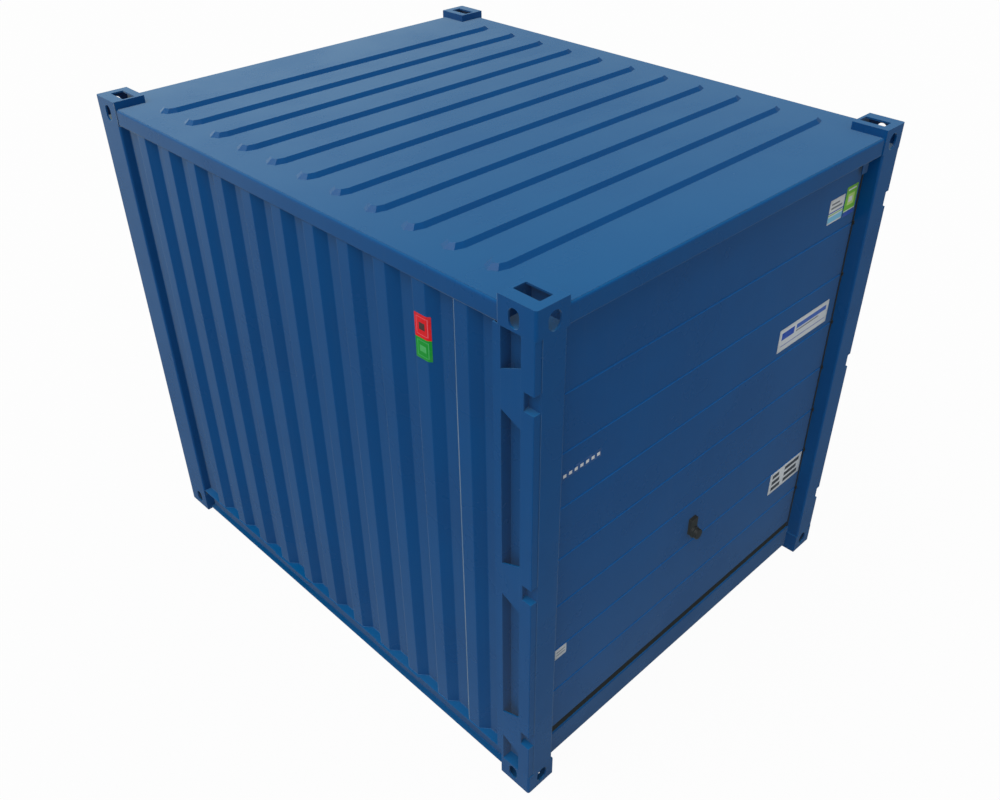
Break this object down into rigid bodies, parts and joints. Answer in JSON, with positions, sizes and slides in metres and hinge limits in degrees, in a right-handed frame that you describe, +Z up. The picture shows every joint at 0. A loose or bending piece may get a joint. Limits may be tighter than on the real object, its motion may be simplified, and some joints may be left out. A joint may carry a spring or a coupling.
{
  "type": "shipping container",
  "caption": "Short steel freight container with corrugated walls, hollow corner castings, a ribbed roof and a sectional shutter in one end.",
  "frame": {"origin": "centre of the footprint, on the ground plane under the corner castings", "axes": "+Z up; the shutter end faces -Y; the length runs along Y and the width along X"},
  "size_m": [2.438, 2.991, 2.591],
  "materials": {
    "blue_paint": "satin",
    "door_paint": "satin",
    "black_rubber": "matte",
    "black_plastic": "matte",
    "plywood": "sealed plywood"
  },
  "bodies": {
    "container": {"bottom_side_rail_left": "blue_paint", "bottom_side_rail_right": "blue_paint", "casting_bottom_front_left": "blue_paint", "casting_bottom_front_right": "blue_paint", "casting_bottom_rear_left": "blue_paint", "casting_bottom_rear_right": "blue_paint", "casting_top_front_left": "blue_paint", "casting_top_front_right": "blue_paint", "casting_top_rear_left": "blue_paint", "casting_top_rear_right": "blue_paint", "cross_members": "blue_paint", "door_guide_left": "door_paint", "door_guide_right": "door_paint", "door_header": "blue_paint", "door_post_left": "blue_paint", "door_post_right": "blue_paint", "door_seal": "black_rubber", "door_sill": "blue_paint", "floor_deck": "plywood", "header_corner_plates": "blue_paint", "lock_case": "black_plastic", "post_webs_left": "blue_paint", "post_webs_right": "blue_paint", "rear_post_left": "blue_paint", "rear_post_right": "blue_paint", "rear_sill": "blue_paint", "rear_top_rail": "blue_paint", "rear_wall": "blue_paint", "roof": "blue_paint", "shutter_panel_1": "door_paint", "shutter_panel_2": "door_paint", "shutter_panel_3": "door_paint", "shutter_panel_4": "door_paint", "shutter_panel_5": "door_paint", "shutter_panel_6": "door_paint", "shutter_panel_7": "door_paint", "shutter_panel_8": "door_paint", "side_seal_left": "black_rubber", "side_seal_right": "black_rubber", "side_wall_left": "blue_paint", "side_wall_right": "blue_paint", "top_side_rail_left": "blue_paint", "top_side_rail_right": "blue_paint"},
    "lock_knob": {"lock_knob": "black_plastic"}
  },
  "joints": [
    {"name": "lock_knob_turn", "type": "hinge", "parent": "container", "child": "lock_knob", "pos_m": [-0.0015, -1.459, 0.8215], "axis": [0, -1, 0], "range_deg": [0, 90]}
  ]
}
